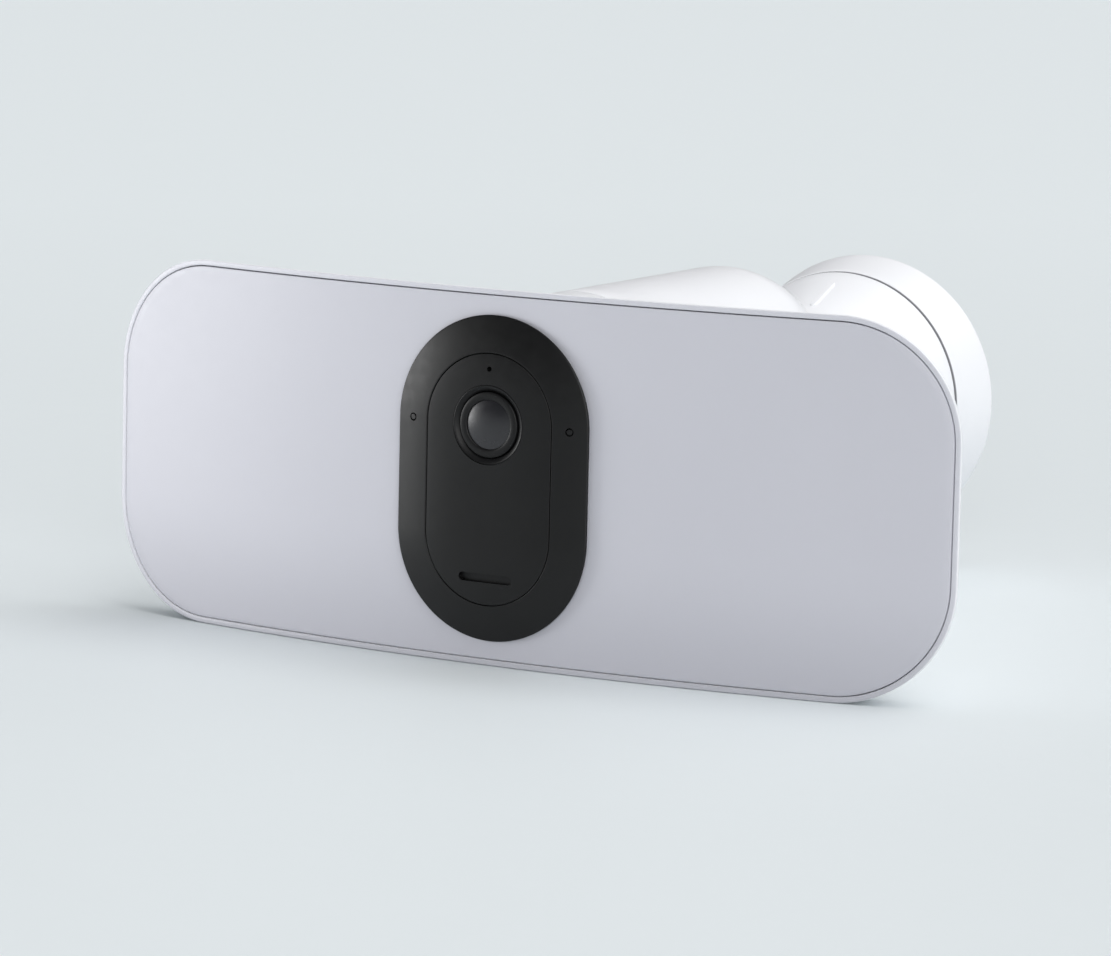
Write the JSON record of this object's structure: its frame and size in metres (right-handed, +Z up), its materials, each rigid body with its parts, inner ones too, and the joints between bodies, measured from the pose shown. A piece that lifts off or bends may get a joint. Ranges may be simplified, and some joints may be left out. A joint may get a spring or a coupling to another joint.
{
  "type": "floodlight security camera",
  "caption": "Battery floodlight camera: wide curved light panel with a pill-shaped camera at its centre and a bullet housing on a ball joint and conical wall mount.",
  "frame": {"origin": "centre of the wall face of the mount", "axes": "+Z up, the light and lens face -Y, +Y goes into the wall, +X to the right seen from the front"},
  "size_m": [0.378, 0.3271, 0.1474],
  "materials": {
    "shell_white": "fine matte",
    "diffuser": "satin translucent",
    "black_gloss": "gloss",
    "black_face": "gloss",
    "black_plastic": "matte",
    "lens_ring": "satin",
    "lens_glass": "coated",
    "dark_window": "gloss",
    "rubber_grey": "matte",
    "button_grey": "satin",
    "steel": "satin",
    "aluminium": "satin",
    "board_white": "satin",
    "led": "satin",
    "board_green": "satin",
    "chip": "matte",
    "brass": "polished",
    "battery": "satin"
  },
  "bodies": {
    "base": {"wall_plate": "steel", "base_skirt": "shell_white", "wall_gasket": "rubber_grey", "base_screws": "steel"},
    "collar": {"mount_cone": "shell_white", "twist_plate": "black_plastic", "twist_plate_screws": "steel", "clamp_plate": "black_plastic", "clamp_screws": "steel"},
    "stud": {"ball_stud": "steel"},
    "liner": {"socket_liner": "black_plastic"},
    "rear_shell": {"rear_housing": "shell_white", "socket_seat": "black_plastic", "socket_retainer": "black_plastic", "socket_screws": "steel", "latch_bracket": "black_plastic", "latch_clip": "steel", "release_spring": "steel"},
    "release_key": {"release_button": "button_grey"},
    "head": {"panel_tray": "shell_white", "light_diffuser": "diffuser", "diffuser_gasket": "rubber_grey", "heat_spreader": "aluminium", "led_board_left": "board_white", "led_board_right": "board_white", "led_emitters": "led", "front_bezel": "black_gloss", "bezel_gasket": "rubber_grey", "camera_face": "black_face", "motion_sensor_window": "dark_window", "motion_sensor": "steel", "lens_trim_ring": "black_plastic", "lens_barrel": "lens_ring", "front_lens": "lens_glass", "rear_lens": "lens_glass", "sensor_windows": "dark_window", "infrared_emitters": "chip", "microphone": "black_plastic", "camera_chassis": "black_plastic", "module_screws": "steel", "filter_guide": "black_plastic", "image_sensor": "chip", "image_sensor_board": "board_green", "main_board": "board_green", "board_components": "chip", "wifi_antenna": "brass", "siren_sounder": "steel", "neck_housing": "shell_white", "neck_screws": "steel", "shell_seal": "rubber_grey", "speaker_grille": "black_plastic", "speaker": "chip", "battery_cradle": "black_plastic", "cradle_screws": "steel", "contact_pins": "brass"},
    "day_night_filter": {"day_night_filter_frame": "black_plastic", "filter_glasses": "lens_glass"},
    "battery": {"battery_pack": "battery", "battery_contacts": "brass"},
    "sync_key": {"sync_button": "button_grey"}
  },
  "joints": [
    {"name": "mount_twist", "type": "hinge", "parent": "base", "child": "collar", "pos_m": [0, 0, 0], "axis": [0, 1, 0], "range_deg": [0, 35]},
    {"name": "roll", "type": "hinge", "parent": "collar", "child": "stud", "pos_m": [0, -0.108, 0], "axis": [0, 1, 0], "range_deg": [-20, 20]},
    {"name": "tilt", "type": "hinge", "parent": "stud", "child": "liner", "pos_m": [0, -0.108, 0], "axis": [1, 0, 0], "range_deg": [-30, 30]},
    {"name": "pan", "type": "hinge", "parent": "liner", "child": "rear_shell", "pos_m": [0, -0.108, 0], "axis": [0, 0, 1], "range_deg": [-30, 30]},
    {"name": "release_button", "type": "slide", "parent": "rear_shell", "child": "release_key", "axis": [0, 0, 1], "range_m": [0, 0.0025], "stiffness_N_per_m": 900, "springref_m": -0.001, "deforming": ["release_spring", "latch_clip"]},
    {"name": "shell_release", "type": "slide", "parent": "rear_shell", "child": "head", "axis": [0, -1, 0], "range_m": [0, 0.115]},
    {"name": "battery_slide", "type": "slide", "parent": "head", "child": "battery", "axis": [0, 1, 0], "range_m": [0, 0.018]},
    {"name": "sync_button", "type": "slide", "parent": "head", "child": "sync_key", "axis": [0, 0, -1], "range_m": [0, 0.0008], "stiffness_N_per_m": 1200, "springref_m": -0.0008},
    {"name": "filter_switch", "type": "slide", "parent": "head", "child": "day_night_filter", "axis": [-1, 0, 0], "range_m": [0, 0.008]}
  ]
}
